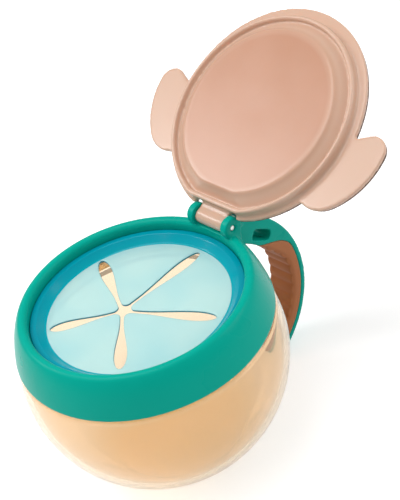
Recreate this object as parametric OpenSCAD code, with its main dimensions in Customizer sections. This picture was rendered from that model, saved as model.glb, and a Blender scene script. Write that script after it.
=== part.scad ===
/* [Cup] */
// Outer diameter of the ball-shaped cup
cup_d = 90; // [84:0.5:100]
// Diameter of the flat foot that the cup stands on
foot_d = 47.4; // [36:0.2:56]
// Thickness of the cup's wall
cup_wall = 2; // [1.4:0.1:2.6]
// Height of the shoulder, under the neck, above the ball's centre
shoulder_rise = 12.6; // [10:0.2:15]
// Outer diameter of the neck
neck_d = 74; // [68:0.5:76]
// Height of the neck above the shoulder
neck_h = 8.4; // [7.6:0.1:11]

/* [Twist lock] */
// Number of lugs round the neck
lug_count = 4; // [3:1:4]
// How far a neck lug stands out of the neck
lug_reach = 1; // [0.6:0.1:1.4]
// Height of one lug
lug_h = 1.5; // [1:0.1:1.8]
// Angle that one lug covers round the neck
lug_angle = 34; // [24:1:36]

/* [Collar] */
// How far the collar's lower edge stands proud of the cup
collar_proud = 0.5; // [0.4:0.05:2]
// How far the collar's lip reaches in over the neck
lip_overlap = 1.1; // [0.6:0.1:1.8]
// Thickness of the rolled lip
lip_t = 3.7; // [3:0.1:4.4]
// Height of the lip's top above the guard's ledge
lip_rise = 3.65; // [3:0.05:5]

/* [Guard] */
// Diameter of the thin cut disc
disc_d = 61.6; // [56:0.2:62]
// Thickness of the thin cut disc
disc_t = 0.9; // [0.6:0.1:1.2]
// Thickness of the clamped flange
flange_t = 1.2; // [0.8:0.1:1.6]
// Height of the ledge above the clamped flange
ledge_rise = 1; // [0.6:0.1:1.6]
// Width of the ledge
ledge_w = 2.1; // [1.4:0.1:2.6]
// How deep the seal reaches into the neck
seal_h = 2.2; // [1.5:0.1:3.5]
// Distance from the slots' common middle to their outer ends
slot_reach = 29.3; // [27.5:0.1:29.4]
// Width of a slot at its widest
slot_w = 4.2; // [3:0.1:5]
// Width of a slot at the middle of the star
slot_neck_w = 1.2; // [1:0.1:2.4]
// Distance of the slots' common middle from the disc's centre
fan_shift = 1.1; // [0:0.1:1.2]
// Distance of the place where the slots meet from their common middle
star_shift = 5.2; // [0:0.1:7]
// Radius of the opening where the slots meet
star_r = 2.6; // [2:0.1:4]

/* [Hinge] */
// Distance from the cup's axis to the hinge pin
pin_reach = 38.1; // [37.5:0.1:40]
// Height of the hinge pin above the top of the lip
pin_rise = 2.35; // [2.2:0.05:3.5]
// Diameter of the hinge pin
pin_d = 2; // [1.6:0.1:2.4]
// Diameter of an ear's round head
ear_d = 7.6; // [6.4:0.2:8.4]
// Thickness of one ear
ear_t = 2.8; // [2.4:0.1:4]
// Diameter of the lid's knuckle
knuckle_d = 5.4; // [4.8:0.1:5.8]
// Width of the lid's knuckle
knuckle_w = 12.8; // [9:0.2:13]
// Angle that the lid is opened to
open_angle = 147; // [120:1:160]

/* [Lid] */
// Diameter of the lid's plate
lid_d = 76.4; // [76:0.2:84]
// How far the plate is shifted away from the hinge, for a thumb
thumb_shift = 1.3; // [0:0.1:3]
// Thickness of the plate
lid_t = 1.5; // [1.2:0.1:2.4]
// Thickness of the dark outer panel
panel_t = 0.8; // [0.5:0.1:1.2]
// How far the outer panel stays back from the plate's edge
panel_inset = 0.3; // [0.1:0.1:0.8]
// Depth of the rim ring under the plate
rim_h = 3.25; // [2.5:0.05:3.6]
// Thickness of the rim ring
rim_t = 1.7; // [1.2:0.1:2]
// Radius of the raised middle of the inside
plug_r = 30; // [26:0.5:31]
// How far the raised middle stands past the rim ring
plug_proud = 1.4; // [0.6:0.1:1.8]
// Distance from the cup's axis to the straight cut by the hinge
chord_reach = 35.2; // [34:0.1:35.4]
// Distance from the middle plane to the outer end of a side tab
tab_reach = 51.25; // [48:0.25:56]
// Radius of a side tab's front corner
tab_front_r = 5.5; // [4:0.5:7]
// Radius of a side tab's outer edge
tab_edge_r = 27.8; // [22:0.2:34]
// Radius of a side tab's rear corner
tab_rear_r = 11.2; // [9:0.1:12]
// How far a side tab reaches past the middle, away from the hinge
tab_front = 5.9; // [4:0.1:8]
// How far a side tab reaches past the middle, towards the hinge
tab_rear = 23; // [20:0.5:25]

/* [Handle] */
// Distance from the cup's axis to the handle's outermost point
handle_reach = 66; // [60:0.2:70]
// Width of the handle
handle_w = 12; // [9:0.2:12]
// Height of the handle's widest place below the ball's centre
handle_drop = 6.7; // [4:0.1:10]
// Radius of the handle's upper curve
handle_top_r = 39.1; // [37:0.1:42]
// Radius of the handle's lower curve
handle_low_r = 34.1; // [31:0.1:36]
// Angle that the lower curve turns through
handle_low_angle = 60; // [45:1:66]
// Thickness of the handle with its grip
handle_t = 5.9; // [4:0.1:6.4]
// Thickness of the green back of the handle
spine_t = 1.9; // [1.1:0.1:2.2]
// Number of finger ribs on the grip
rib_count = 11; // [5:1:14]
// How far the ribs stand out of the grip
rib_h = 0.6; // [0.2:0.05:0.9]
// Thickness of the arm above its slot
arm_wall = 4.1; // [3:0.1:4.6]
// Thickness of the arm below its slot
arm_floor = 2; // [1.4:0.1:2.6]
// Length of the slot through the arm
arm_slot_l = 8.6; // [5:0.2:9]
// Height of the slot through the arm
arm_slot_h = 3.9; // [3:0.1:4.2]

/* [Fits] */
// Gap between neighbouring pieces that move apart
gap = 0.3; // [0.2:0.05:0.4]
// Gap between neighbouring pieces that stay together
seat_gap = 0.1; // [0.05:0.01:0.15]
// Gap round the hinge pin inside the knuckle
pin_fit = 0.06; // [0.02:0.01:0.1]

/* [Hidden] */
$fn = 96;
SMALL_FN = 48;

// Cup: heights are measured from the table, with the cup's axis upright
cup_r = cup_d / 2;
ball_z = sqrt(cup_r * cup_r - foot_d * foot_d / 4);
neck_r = neck_d / 2;
neck_in_r = neck_r - cup_wall;
shoulder_z = ball_z + shoulder_rise;
shoulder_r = sqrt(cup_r * cup_r - shoulder_rise * shoulder_rise);
neck_z = shoulder_z + neck_h;

// Guard: its flange lies on the neck, under the collar's lip
lip_in_r = neck_r - lip_overlap;
disc_r = disc_d / 2;
flange_z = neck_z + seat_gap;
flange_top_z = flange_z + flange_t;
ledge_z = flange_top_z + ledge_rise;
ledge_out_r = lip_in_r - seat_gap;
ledge_in_r = ledge_out_r - ledge_w;
disc_top_z = neck_z - seat_gap;
disc_z = disc_top_z - disc_t;
seal_t = 1.3;
seal_r = neck_in_r - gap;
seal_in_r = seal_r - seal_t;
ledge_round = 0.5;
ring_overlap = 0.5;

// Star: five slots that end on one circle but meet a little off its middle
SLOTS = 5;
slot_step = 360 / SLOTS;
slot_turn = 144.8;
fan_turn = slot_turn - slot_step;
fan_x = fan_shift * cos(fan_turn);
fan_y = fan_shift * sin(fan_turn);
slot_rim = 0.3;
slot_r = min(slot_reach, disc_r - fan_shift - slot_rim);
star_turn = 156.3;
star_x = star_shift * cos(star_turn);
star_y = star_shift * sin(star_turn);
slot_swell_at = 0.2;
slot_wide_at = 0.78;
slot_points = 24;
slot_past_fold = 2.2;
fold_r = slot_r - slot_past_fold;
fold_edge_r = disc_t / 2;
fold_edge_half = 75;
fold_gap = gap / 2;
fold_reach = fold_r * cos(slot_step / 2) - fold_gap - fold_edge_r;

// Twist lock: the collar's lugs sit under the neck's lugs
lug_step = 360 / lug_count;
neck_lug_z = neck_z - seal_h - lug_h;
collar_lug_z = neck_lug_z - seat_gap - lug_h;
bore_r = neck_r + lug_reach + gap;
lug_root = 0.6;

// Collar: a band that leans in to a rolled lip
lip_r = lip_t / 2;
lip_mid_r = lip_in_r + lip_r;
lip_top_z = ledge_z + lip_rise;
lip_mid_z = lip_top_z - lip_r;
collar_z = shoulder_z + gap;
collar_edge_r = shoulder_r + collar_proud;
band_lip_angle = 35;
band_ease = 4.5;
band_points = 14;
lip_step = 10;
shoulder_under_z = flange_top_z + seat_gap;
edge_round = 0.5;

// Hinge: the pin lies across the handle's side of the collar
pin_r = pin_d / 2;
pin_z = lip_top_z + pin_rise;
ear_r = ear_d / 2;
knuckle_r = knuckle_d / 2;
ear_in = knuckle_w / 2 + gap / 2;
ear_out = ear_in + ear_t;
pin_inset = 0.5;
pin_hold = 0.02;
mouth_r = pin_r + 0.35;
mouth_deep = pin_inset + 0.2;
ear_root_x = lip_mid_r - 0.9 * lip_r;
ear_back_x = pin_reach + 0.7 * ear_r;
ear_foot_x = lip_mid_r + 1.05;
arm_root_x = lip_mid_r + 1.65;
ear_foot_w = 1.6;
ear_foot_z = lip_mid_z - 5;
stop_foot_x = pin_reach + 2.4;
stop_foot_t = 3.9;
stop_near = knuckle_r + gap + 0.4;
stop_edge = 1.3;

// Lid: modelled closed, then turned open about the pin
notch_gap = 0.5;
notch_x = pin_reach - ear_r - notch_gap;
notch_y = ear_out + gap;
rim_r = lip_in_r - gap;
rim_in_r = rim_r - rim_t;
lid_z = lip_top_z + gap;
lid_top_z = lid_z + lid_t;
rim_z = lid_z - rim_h;
groove_z = lid_z - 1;
plug_z = rim_z - plug_proud;
plug_round = 1.2;
plug_slope = rim_in_r - plug_r - gap;
plug_wall = 2;
plug_flat_x = plug_r - 2 * plug_wall - 2;
plug_dish = 0.3;
stop_lift = lid_top_z + gap - pin_z;
stop_far = pin_reach - notch_x - gap;
join = 0.2;
cut_lap = 0.01;
lid_r = lid_d / 2;
tab_edge_y = tab_reach - tab_edge_r;
tab_front_x = -tab_front + tab_front_r;
tab_rear_x = tab_rear - tab_rear_r;
tab_rear_y = tab_edge_y
    + sqrt(pow(tab_edge_r - tab_rear_r, 2) - pow(tab_rear_x - tab_front_x, 2));
tab_rear_turn = atan2(tab_rear_y - tab_edge_y, tab_rear_x - tab_front_x);
tab_root_x = tab_front_x - 2.2;
tab_root_y = lid_r - 0.4;
tab_hidden_x = tab_front_x - 8;
tab_front_from = 215;
tab_edge_from = 88;
tab_rear_to = -38;
tab_step = 6;

// Handle: two arcs that share a tangent at the outermost point
handle_z = ball_z - handle_drop;
top_mid_x = handle_reach - handle_top_r;
low_mid_x = handle_reach - handle_low_r;
arm_t = arm_wall + arm_slot_h + arm_floor;
arm_from = 14;
arm_full = 43;
arm_end = 60;
arm_under_end = 56;
arm_slot_lean = 35;
arm_slot_turn = 42.5;
arm_slot_near_r = 0.9;
arm_slot_far_r = 1.8;
grip_from = 3;
grip_full = 38;
grip_end = 41;
rib_from = -56;
rib_to = 32;
handle_step = 2;
handle_end = [low_mid_x + (handle_low_r - handle_t / 2) * cos(handle_low_angle),
              ball_z - handle_drop - (handle_low_r - handle_t / 2) * sin(handle_low_angle)];
end_r = handle_t / 2;
end_turn = -handle_low_angle;
end_split = acos(1 - 2 * spine_t / handle_t);
end_from = 12;
end_gap = 5;

// Points along an arc in a plane
function arc(mid, r, from, to, steps = 12) =
    [for (i = [0:steps]) let (a = from + (to - from) * i / steps) mid + r * [cos(a), sin(a)]];

// Points along a curve that starts at a, ends at b and leans towards c
function ease_curve(a, c, b, steps) =
    [for (i = [0:steps]) let (t = i / steps) pow(1 - t, 2) * a + 2 * t * (1 - t) * c + t * t * b];

// A smooth rise from 0 to 1
function rise(x) = let (t = max(0, min(1, x))) t * t * (3 - 2 * t);

// Half-width of a slot, from 0 where the slots meet to 1 at its outer end
function slot_half(s) =
    s < slot_wide_at
    ? (slot_neck_w + (slot_w - slot_neck_w) * rise((s - slot_swell_at) / (slot_wide_at - slot_swell_at))) / 2
    : slot_w / 2 * sqrt(max(0, 1 - pow((s - slot_wide_at) / (1 - slot_wide_at), 2)));

function slot_angle(k) = slot_turn - slot_step * k;

function slot_end(k) = slot_r * [cos(slot_angle(k)), sin(slot_angle(k))];

// A solid of revolution round the cup's axis, from points of radius and height
module turned(points) {
    rotate_extrude() polygon(points);
}

// A plate that stands in the handle's plane, from points of reach and height
module upright(points, width) {
    rotate([90, 0, 0])
        linear_extrude(height = width, center = true) polygon(points);
}

// A round bar across the handle's plane
module crossbar(x, z, r, length) {
    translate([x, 0, z])
        rotate([90, 0, 0]) cylinder(r = r, h = length, center = true, $fn = SMALL_FN);
}

// A part of a ring round the cup's axis
module lug(r_in, r_out, z, angle) {
    translate([0, 0, z])
        rotate([0, 0, -angle / 2])
            rotate_extrude(angle = angle)
                translate([r_in, 0]) square([r_out - r_in, lug_h]);
}

// Cup

module cup_solid() {
    intersection() {
        translate([0, 0, ball_z]) sphere(r = cup_r, $fn = 128);
        cylinder(r = cup_d, h = shoulder_z);
    }
    translate([0, 0, ball_z]) cylinder(r = neck_r, h = neck_z - ball_z);
}

module cup_hollow() {
    intersection() {
        translate([0, 0, ball_z]) sphere(r = cup_r - cup_wall, $fn = 128);
        translate([0, 0, cup_wall]) cylinder(r = cup_d, h = shoulder_z - 2 * cup_wall);
    }
    translate([0, 0, ball_z]) cylinder(r = neck_in_r, h = neck_z);
}

module cup() {
    color("#e3b887") {
        difference() {
            cup_solid();
            cup_hollow();
        }
        for (k = [0:lug_count - 1])
            rotate([0, 0, k * lug_step])
                lug(neck_r - lug_root, neck_r + lug_reach, neck_lug_z, lug_angle);
    }
}

// Collar, with its ears, arm and handle back in one moulding

module collar_ring() {
    lip_mid = [lip_mid_r, lip_mid_z];
    band_top = lip_mid + lip_r * [cos(band_lip_angle), sin(band_lip_angle)];
    band_lean = band_top + band_ease * [sin(band_lip_angle), -cos(band_lip_angle)];
    band = ease_curve([collar_edge_r, collar_z + edge_round], band_lean, band_top, band_points);
    turned(concat(
        [[bore_r, collar_z], [collar_edge_r - edge_round, collar_z]],
        band,
        arc(lip_mid, lip_r, band_lip_angle + lip_step, 180, 12),
        [[lip_in_r, shoulder_under_z], [bore_r, shoulder_under_z]]
    ));
}

module collar_lugs() {
    for (k = [0:lug_count - 1])
        rotate([0, 0, k * lug_step])
            lug(neck_r + gap, bore_r + lug_root, collar_lug_z, lug_angle);
}

// One outline for both ears: a round head on a foot that joins the band
module ears() {
    crossbar(pin_reach, pin_z, ear_r, 2 * ear_out);
    upright([
        [ear_root_x, lip_mid_z],
        [pin_reach - ear_r, pin_z],
        [pin_reach + ear_r, pin_z],
        [ear_back_x, lip_mid_z],
        [ear_foot_x + ear_foot_w, ear_foot_z],
        [ear_foot_x, ear_foot_z]
    ], 2 * ear_out);
}

// The space between the ears, round the knuckle
module knuckle_space() {
    crossbar(pin_reach, pin_z, knuckle_r + gap, 2 * ear_in);
    translate([pin_reach - 3 * ear_r, -ear_in, pin_z - knuckle_r - gap])
        cube([3 * ear_r, 2 * ear_in, 3 * ear_r]);
    translate([pin_reach - ear_r, -ear_in, pin_z])
        cube([2 * ear_r + gap, 2 * ear_in, 2 * ear_r]);
}

// The wall behind the knuckle that the open lid comes to rest on
module lid_stop() {
    along = [-cos(open_angle), sin(open_angle)];
    away = [sin(open_angle), cos(open_angle)];
    top_near = [pin_reach, pin_z] + stop_near * along + stop_lift * away;
    top_far = [pin_reach, pin_z] + stop_far * along + stop_lift * away;
    difference() {
        upright([[stop_foot_x, lip_mid_z], top_near, top_far, top_far + stop_edge * away,
                 [stop_foot_x + stop_foot_t, lip_mid_z]], 2 * ear_in);
        crossbar(pin_reach, pin_z, knuckle_r + gap, 3 * ear_in);
    }
}

// A point of the handle at an angle round its bend, so deep under its outer edge
function handle_at(a, depth) =
    a < 0
    ? [low_mid_x, handle_z] + (handle_low_r - depth) * [cos(a), sin(a)]
    : [top_mid_x, handle_z] + (handle_top_r - depth) * [cos(a), sin(a)];

// Thickness of the green back, which swells into the arm
function spine_depth(a) = spine_t + (arm_t - spine_t) * rise((a - arm_from) / (arm_full - arm_from));

// Thickness of the back and grip together, without the ribs
function grip_depth(a) = handle_t + (arm_t - handle_t) * rise((a - grip_from) / (grip_full - grip_from));

// How far the rib at an angle stands out
function rib(a) =
    a < rib_from || a > rib_to
    ? 0
    : rib_h * abs(sin(180 * rib_count * (a - rib_from) / (rib_to - rib_from)));

// The seam between the green back and the grip, from the free end up to the arm
function seam() = concat(
    [handle_end + end_r * [cos(end_turn - end_split), sin(end_turn - end_split)]],
    [for (a = [-handle_low_angle:handle_step:grip_end]) handle_at(a, spine_depth(a))]
);

module spine() {
    upright(concat(
        [for (a = [arm_end:-handle_step:-handle_low_angle]) handle_at(a, 0)],
        arc(handle_end, end_r, end_turn - end_from, end_turn - end_split + end_gap, 5),
        seam(),
        [for (a = [arm_full:handle_step:arm_under_end]) handle_at(a, arm_t)],
        [[arm_root_x, handle_at(arm_under_end, arm_t)[1]], [arm_root_x, lip_mid_z]]
    ), handle_w);
}

module arm_slot() {
    mid = [top_mid_x, handle_z]
        + (handle_top_r - arm_wall - arm_slot_h / 2) * [cos(arm_slot_turn), sin(arm_slot_turn)];
    far_x = arm_slot_l / 2 - arm_slot_far_r;
    far_z = arm_slot_h / 2 - arm_slot_far_r;
    near_x = arm_slot_near_r - arm_slot_l / 2;
    near_z = arm_slot_h / 2 - arm_slot_near_r;
    translate([mid[0], 0, mid[1]])
        rotate([0, arm_slot_lean, 0]) upright(concat(
            arc([far_x, far_z], arm_slot_far_r, 90, 0, 8),
            arc([far_x, -far_z], arm_slot_far_r, 0, -90, 8),
            arc([near_x, -near_z], arm_slot_near_r, -90, -180, 6),
            arc([near_x, near_z], arm_slot_near_r, 180, 90, 6)
        ), 2 * handle_w);
}

module collar() {
    color("#0a9f8e") difference() {
        union() {
            collar_ring();
            collar_lugs();
            difference() {
                union() {
                    ears();
                    spine();
                }
                cylinder(r = lip_mid_r, h = 2 * pin_z);
                knuckle_space();
            }
            difference() {
                ears();
                translate([0, 0, -pin_z]) cylinder(r = lip_mid_r, h = pin_z + lip_mid_z);
                knuckle_space();
            }
            lid_stop();
        }
        crossbar(pin_reach, pin_z, pin_r + pin_hold, 3 * ear_out);
        for (side = [-1, 1])
            translate([0, side * ear_out, 0]) crossbar(pin_reach, pin_z, mouth_r, 2 * mouth_deep);
        crossbar(pin_reach, pin_z, knuckle_r + gap, 2 * ear_in);
        arm_slot();
    }
}

// Grip, moulded over the inside of the handle

module handle_grip() {
    rib_step = (rib_to - rib_from) / rib_count / 6;
    color("#8a5433") upright(concat(
        seam(),
        [for (a = [grip_end:-handle_step:rib_to + 1]) handle_at(a, grip_depth(a))],
        [for (a = [rib_to:-rib_step:rib_from]) handle_at(a, grip_depth(a) + rib(a))],
        arc(handle_end, end_r, end_turn - 180, end_turn - end_split - end_gap, 8)
    ), handle_w);
}

// Guard

module slot_cutter(k) {
    end = slot_end(k);
    length = norm(end - [star_x, star_y]);
    side = [for (i = [0:slot_points]) let (s = i / slot_points) [s * length, slot_half(s)]];
    back = [for (i = [slot_points:-1:0]) [side[i][0], -side[i][1]]];
    translate([star_x, star_y, disc_z - disc_t])
        rotate([0, 0, atan2(end[1] - star_y, end[0] - star_x)])
            linear_extrude(height = 3 * disc_t)
                polygon(concat([for (i = [0:slot_points - 1]) side[i]], back));
}

module guard_ring() {
    color("#2aa7c4") difference() {
        union() {
            turned(concat(
                [[disc_r - 2 * ring_overlap, disc_z], [seal_in_r, disc_z],
                 [seal_in_r, neck_z - seal_h], [seal_r, neck_z - seal_h],
                 [seal_r, flange_z], [neck_r, flange_z],
                 [neck_r, flange_top_z], [ledge_out_r, flange_top_z]],
                arc([ledge_out_r - ledge_round, ledge_z - ledge_round], ledge_round, 0, 90, 4),
                arc([ledge_in_r, ledge_z - ledge_round], ledge_round, 90, 150, 3),
                [[disc_r, disc_top_z], [disc_r - 2 * ring_overlap, disc_top_z]]
            ));
            translate([0, 0, disc_z]) cylinder(r = disc_r - ring_overlap, h = disc_t);
        }
        translate([fan_x, fan_y, 0]) {
            translate([0, 0, disc_z - disc_t])
                rotate([0, 0, slot_turn]) cylinder(r = fold_r, h = 3 * disc_t, $fn = SLOTS);
            for (k = [0:SLOTS - 1]) slot_cutter(k);
        }
    }
}

// One flap, which bends about a straight, rounded fold between the ends of two slots
module flap(k) {
    fold_turn = slot_angle(k) - slot_step / 2;
    corners = [for (j = [k, k + 1]) slot_end(j)];
    round_edge = arc([fold_reach, disc_z + fold_edge_r], fold_edge_r, -fold_edge_half, fold_edge_half, 6);
    color("#bfe9ea") translate([fan_x, fan_y, 0]) difference() {
        intersection() {
            translate([0, 0, disc_z - disc_t])
                linear_extrude(height = 3 * disc_t) polygon([[star_x, star_y], corners[0], corners[1]]);
            rotate([0, 0, fold_turn])
                upright(concat([[-disc_r, disc_z], [fold_reach, disc_z]], round_edge,
                               [[fold_reach, disc_top_z], [-disc_r, disc_top_z]]), 2 * disc_r);
        }
        slot_cutter(k);
        slot_cutter(k + 1);
        translate([star_x, star_y, disc_z - disc_t])
            cylinder(r = star_r, h = 3 * disc_t, $fn = SMALL_FN);
    }
}

// Lid

// Outline of one side tab, with the plate hidden under its root
function tab_outline(inset) = concat(
    [[tab_hidden_x, 0], [tab_root_x + inset, tab_root_y]],
    arc([tab_front_x, tab_reach - tab_front_r], tab_front_r - inset, tab_front_from, 90, 12),
    arc([tab_front_x, tab_edge_y], tab_edge_r - inset, tab_edge_from, tab_rear_turn, 12),
    arc([tab_rear_x, tab_rear_y], tab_rear_r - inset, tab_rear_turn - tab_step, tab_rear_to, 12),
    [[tab_rear_x, 0]]
);

// The lid's outline, cut straight by the hinge and notched for the ears
module lid_outline(thickness, inset = 0) {
    difference() {
        union() {
            translate([-thumb_shift, 0, 0]) cylinder(r = lid_r - inset, h = thickness);
            for (side = [0, 1])
                mirror([0, side, 0]) linear_extrude(height = thickness) polygon(tab_outline(inset));
        }
        translate([chord_reach - inset, -lid_d, -1]) cube([lid_d, 2 * lid_d, thickness + 2]);
        translate([notch_x - inset, -notch_y - inset, -1])
            cube([lid_d, 2 * (notch_y + inset), thickness + 2]);
    }
}

module rim_ring() {
    crest_r = rim_t / 2;
    difference() {
        union() {
            translate([0, 0, rim_z + crest_r]) rotate_extrude()
                translate([rim_r - rim_t, 0]) square([rim_t, rim_h - crest_r + join]);
            translate([0, 0, rim_z + crest_r]) rotate_extrude()
                translate([rim_r - crest_r, 0]) circle(r = crest_r, $fn = 32);
        }
        translate([notch_x, -lid_d, 0]) cube([lid_d, 2 * lid_d, 2 * lid_z]);
    }
    intersection() {
        translate([notch_x - rim_t, -lid_d / 2, rim_z]) cube([rim_t, lid_d, rim_h + join]);
        cylinder(r = rim_r, h = 2 * lid_z);
    }
}

// The raised middle of the inside, with a sloping side all round
module plug() {
    slope_h = groove_z - plug_z;
    cut_turn = atan2(plug_slope, slope_h);
    cut_x = notch_x - rim_t - gap;
    difference() {
        turned(concat(
            [[0, lid_z + join], [0, plug_z + plug_dish]],
            arc([plug_r - plug_round, plug_z + plug_round], plug_round, -90, -cut_turn / 2, 5),
            [[plug_r + plug_slope, groove_z], [plug_r + plug_slope, lid_z + join]]
        ));
        translate([cut_x, 0, groove_z])
            rotate([0, cut_turn, 0])
                translate([0, -lid_d, -4 * slope_h]) cube([lid_d, 2 * lid_d, 4 * slope_h]);
        translate([cut_x, -lid_d, groove_z - cut_lap]) cube([lid_d, 2 * lid_d, lid_z]);
    }
}

module tongue() {
    translate([notch_x - 1, -knuckle_w / 2, lid_z])
        cube([pin_reach - notch_x + 1, knuckle_w, lid_t]);
    crossbar(pin_reach, pin_z, knuckle_r, knuckle_w);
}

// Turns a piece of the closed lid to its open place
module opened() {
    translate([pin_reach, 0, pin_z])
        rotate([0, open_angle, 0])
            translate([-pin_reach, 0, -pin_z]) children();
}

module lid() {
    hollow_z = plug_z + plug_wall;
    color("#eac3a4") opened() difference() {
        union() {
            translate([0, 0, lid_z]) lid_outline(lid_t);
            rim_ring();
            plug();
            tongue();
        }
        difference() {
            translate([0, 0, hollow_z])
                cylinder(r = plug_r - plug_wall, h = lid_top_z - hollow_z + 1);
            translate([plug_flat_x, -lid_d, 0]) cube([lid_d, 2 * lid_d, 2 * lid_z]);
        }
        crossbar(pin_reach, pin_z, pin_r + pin_fit, 2 * knuckle_w);
    }
}

module lid_panel() {
    color("#5a3421") opened()
        translate([0, 0, lid_top_z]) lid_outline(panel_t, panel_inset);
}

module hinge_pin() {
    color("#e8e8e4") crossbar(pin_reach, pin_z, pin_r, 2 * (ear_out - pin_inset));
}

cup();
collar();
handle_grip();
guard_ring();
flap(0);  // flap_1
flap(1);  // flap_2
flap(2);  // flap_3
flap(3);  // flap_4
flap(4);  // flap_5
lid();
lid_panel();
hinge_pin();
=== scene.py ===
# Toddler snack container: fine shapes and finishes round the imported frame
import math

import bmesh
import bpy
import numpy as np
from mathutils import Matrix, Vector
from mathutils.geometry import delaunay_2d_cdt
from mathutils.kdtree import KDTree


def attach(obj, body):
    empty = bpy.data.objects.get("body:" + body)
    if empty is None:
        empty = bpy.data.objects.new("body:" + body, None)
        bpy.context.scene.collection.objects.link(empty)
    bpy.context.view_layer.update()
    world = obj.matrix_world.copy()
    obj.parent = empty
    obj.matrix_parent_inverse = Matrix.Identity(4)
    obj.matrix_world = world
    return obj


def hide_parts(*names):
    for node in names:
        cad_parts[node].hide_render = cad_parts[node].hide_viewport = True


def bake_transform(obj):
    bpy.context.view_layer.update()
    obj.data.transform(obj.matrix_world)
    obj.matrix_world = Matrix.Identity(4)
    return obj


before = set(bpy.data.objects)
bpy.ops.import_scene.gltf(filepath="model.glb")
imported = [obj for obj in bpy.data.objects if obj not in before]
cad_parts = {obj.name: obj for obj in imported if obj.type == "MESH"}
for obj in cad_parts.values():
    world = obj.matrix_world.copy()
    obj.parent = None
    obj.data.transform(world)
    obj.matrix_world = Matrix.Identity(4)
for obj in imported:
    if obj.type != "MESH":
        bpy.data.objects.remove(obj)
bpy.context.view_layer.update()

MM = 0.001
MERGE = 0.002 * MM
TINY = 0.001 * MM

# Sizes in millimetres, as in the CAD source: Z is up the cup's axis, X towards the hinge
BALL_R = 45.0
FOOT_R = 23.7
BALL_Z = math.sqrt(BALL_R**2 - FOOT_R**2)
CUP_WALL = 2.0
SHOULDER_RISE = 12.6
SHOULDER_Z = BALL_Z + SHOULDER_RISE
SHOULDER_R = math.sqrt(BALL_R**2 - SHOULDER_RISE**2)
NECK_R = 37.0
NECK_IN_R = NECK_R - CUP_WALL
NECK_H = 8.4
NECK_Z = SHOULDER_Z + NECK_H
GAP = 0.3
SEAT_GAP = 0.1

# Guard: its seal hangs in the neck, its flange lies on the neck, and its ledge stands inside the collar's lip
SEAL_H = 2.2
SEAL_T = 1.3
SEAL_R = NECK_IN_R - GAP
SEAL_IN_R = SEAL_R - SEAL_T
FLANGE_T = 1.2
FLANGE_Z = NECK_Z + SEAT_GAP
FLANGE_TOP = FLANGE_Z + FLANGE_T
LEDGE_RISE = 1.0
LEDGE_Z = FLANGE_TOP + LEDGE_RISE
LEDGE_W = 2.1
LIP_OVERLAP = 1.1
LEDGE_OUT_R = NECK_R - LIP_OVERLAP - SEAT_GAP
LEDGE_IN_R = LEDGE_OUT_R - LEDGE_W
DISC_R = 30.8
DISC_T = 0.9
DISC_TOP = NECK_Z - SEAT_GAP
DISC_Z = DISC_TOP - DISC_T

# Twist lock: lugs round the neck
LUG_COUNT = 4
LUG_ANGLE = 34.0
LUG_REACH = 1.0
LUG_ROOT = 0.6
LUG_H = 1.5
LUG_Z = NECK_Z - SEAL_H - LUG_H

# Star of slots: angles in degrees, and shares of a slot's length from the star's middle
SLOTS = 5
SLOT_STEP = 72.0
SLOT_TURN = 144.8
SLOT_REACH = 29.3
SLOT_W = 4.2
SLOT_NECK_W = 1.2
SLOT_SWELL_AT = 0.2
SLOT_WIDE_AT = 0.78
FAN_SHIFT = 1.1
FAN_TURN = 72.8
STAR_SHIFT = 5.2
STAR_TURN = 156.3
NOSE_R = 1.9
NOSE_AT = 4.8
FOLD_R = 27.1
FOLD_AT = FOLD_R * math.cos(math.radians(SLOT_STEP / 2))
SPLIT_AT = FOLD_AT + 0.8

# How finely the thin sheet is divided: its cut edge, the lines beside each fold, its rim and its middle
EDGE_ROUND = 0.36
EDGE_SPACING = 0.45
EDGE_LINES = (0.05, 0.16, EDGE_ROUND)
EDGE_TOUCH = 0.02
EDGE_BAND = 0.1
FOLD_LINES = (0.0, 0.5, 1.0, 1.5, 2.0, 2.6)
FOLD_HALF_POINTS = 16
RIM_POINTS = 160
GRID_PITCH = 1.15
GRID_ROW = 0.866
GRID_HALF = 30
GRID_CLEAR = 0.6

# Hinge, and the lid as it stands open
PIN_X = 38.1
LIP_RISE = 3.65
PIN_RISE = 2.35
PIN_Z = LEDGE_Z + LIP_RISE + PIN_RISE
PIN_R = 1.0
PIN_INSET = 0.5
EAR_OUT = 9.35
PIN_HALF = EAR_OUT - PIN_INSET
OPEN_ANGLE = 147.0
LEAN = math.radians(180.0 - OPEN_ANGLE)
LID_AXIS = Vector((-math.sin(LEAN), 0.0, math.cos(LEAN)))
LID_MID = Vector((PIN_X + PIN_X * math.cos(LEAN), 0.0, PIN_Z + PIN_X * math.sin(LEAN)))

# Handle: two arcs that share a tangent at its outermost point, with angles in degrees
HANDLE_X = 66.0
HANDLE_Z = BALL_Z - 6.7
TOP_R = 39.1
LOW_R = 34.1
LOW_ANGLE = 60.0
HANDLE_T = 5.9
SPINE_T = 1.9
HANDLE_W = 12.0
ARM_T = 10.0
ARM_FROM = 14.0
ARM_FULL = 43.0
GRIP_FROM = 3.0
GRIP_FULL = 38.0
GRIP_END = 40.4
GRIP_STEP = 2.0
GRIP_ROWS = 50
GRIP_CROWN = 1.5
TIP_SHARES = (0.35, 0.7, 0.92)
RIBS = 11
RIB_FROM = -56.0
RIB_TO = 32.0
RIB_STEP = (RIB_TO - RIB_FROM) / RIBS
RIB_SINK = 0.6
RIB_SIDE_GAP = 0.5
RIB_SIZE = (1.05, 2.25)
PATH_STEP = 0.5


# Small helpers

def paint(hex_colour):
    """An sRGB hex colour as the linear values that a shader takes."""
    parts = [int(hex_colour[i:i + 2], 16) / 255 for i in (1, 3, 5)]
    linear = [p / 12.92 if p <= 0.04045 else ((p + 0.055) / 1.055) ** 2.4 for p in parts]
    return (*linear, 1.0)


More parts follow.
